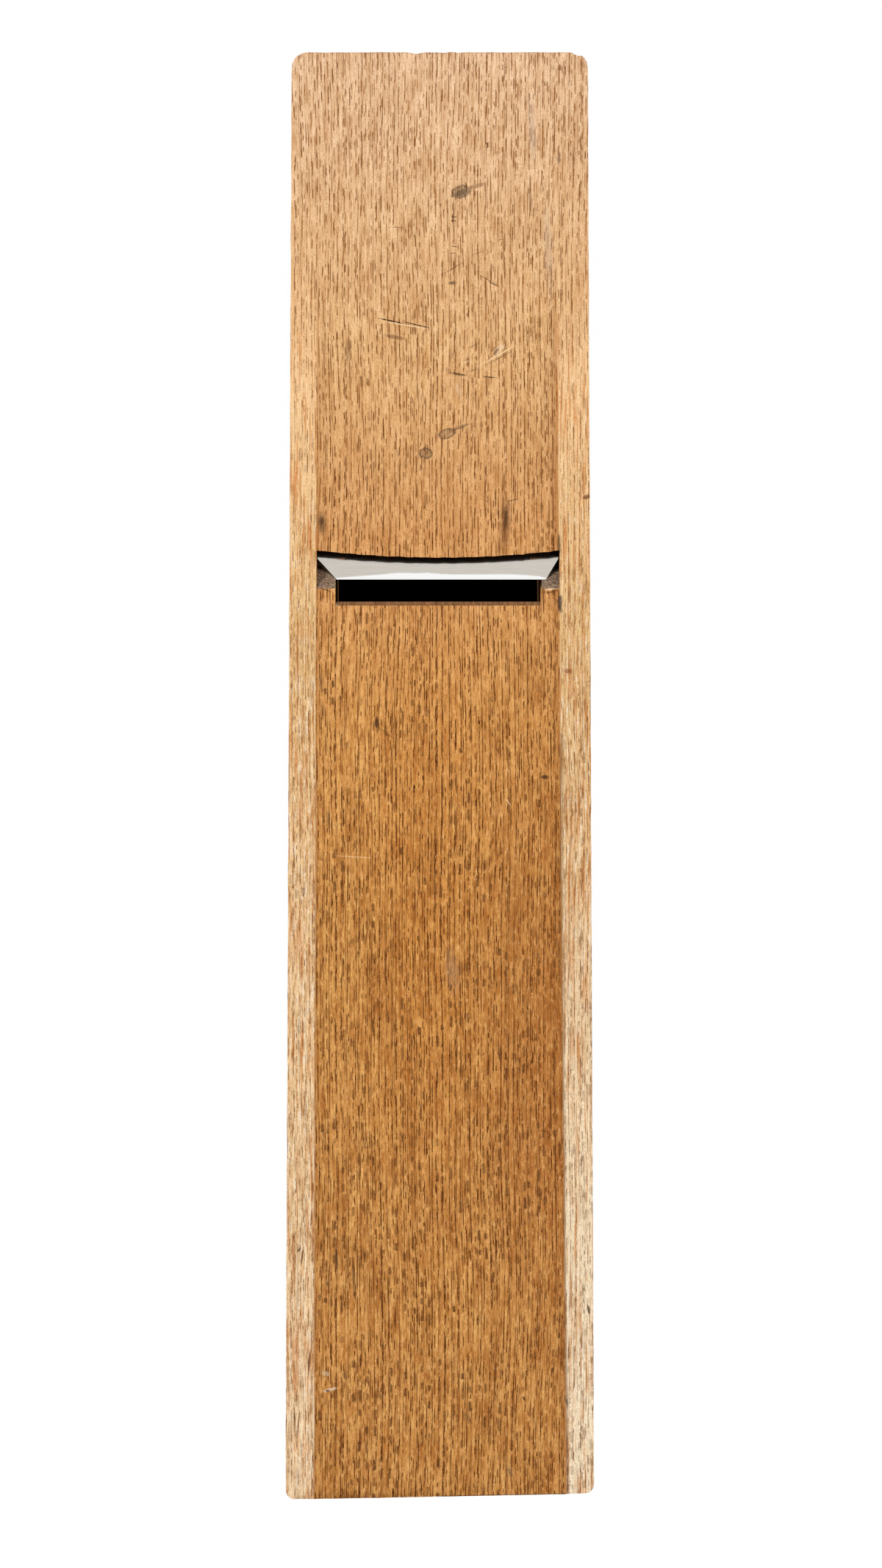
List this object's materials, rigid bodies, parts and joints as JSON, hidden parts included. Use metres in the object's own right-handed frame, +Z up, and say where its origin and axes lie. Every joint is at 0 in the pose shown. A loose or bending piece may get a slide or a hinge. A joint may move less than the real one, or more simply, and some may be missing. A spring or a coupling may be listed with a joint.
{
  "type": "japanese hand plane",
  "caption": "Long-soled Japanese pull plane: oak block with throat and side grooves, wedge-shaped laminated blade, bent-corner chip breaker and steel pin.",
  "frame": {"origin": "middle of the sole's outline, on the sole", "axes": "+X along the block in the direction of the pull, towards the tail end; +Z up, square to the sole; the blade leans back towards -X"},
  "size_m": [0.394, 0.0842, 0.066],
  "materials": {
    "oak": "worn bare oak with dark pores and ray flecks",
    "pin_steel": "dull drawn steel",
    "forged_iron": "forged wrought iron, dark, with light rust",
    "polished_steel": "stone-polished hard steel",
    "breaker_iron": "filed wrought iron, brown patina",
    "breaker_steel": "stone-ground hard steel"
  },
  "bodies": {
    "block": {"block": "oak", "pin": "pin_steel"},
    "blade": {"blade_iron": "forged_iron", "blade_steel": "polished_steel"},
    "chip_breaker": {"chip_breaker_iron": "breaker_iron", "chip_breaker_steel": "breaker_steel"}
  },
  "joints": [
    {"name": "blade_slide", "type": "slide", "parent": "block", "child": "blade", "axis": [-0.7804, 0, 0.6252], "range_m": [-0.0037, 0.07]},
    {"name": "chip_breaker_slide", "type": "slide", "parent": "blade", "child": "chip_breaker", "axis": [-0.762, 0, 0.6476], "range_m": [-0.001, 0.035]}
  ]
}
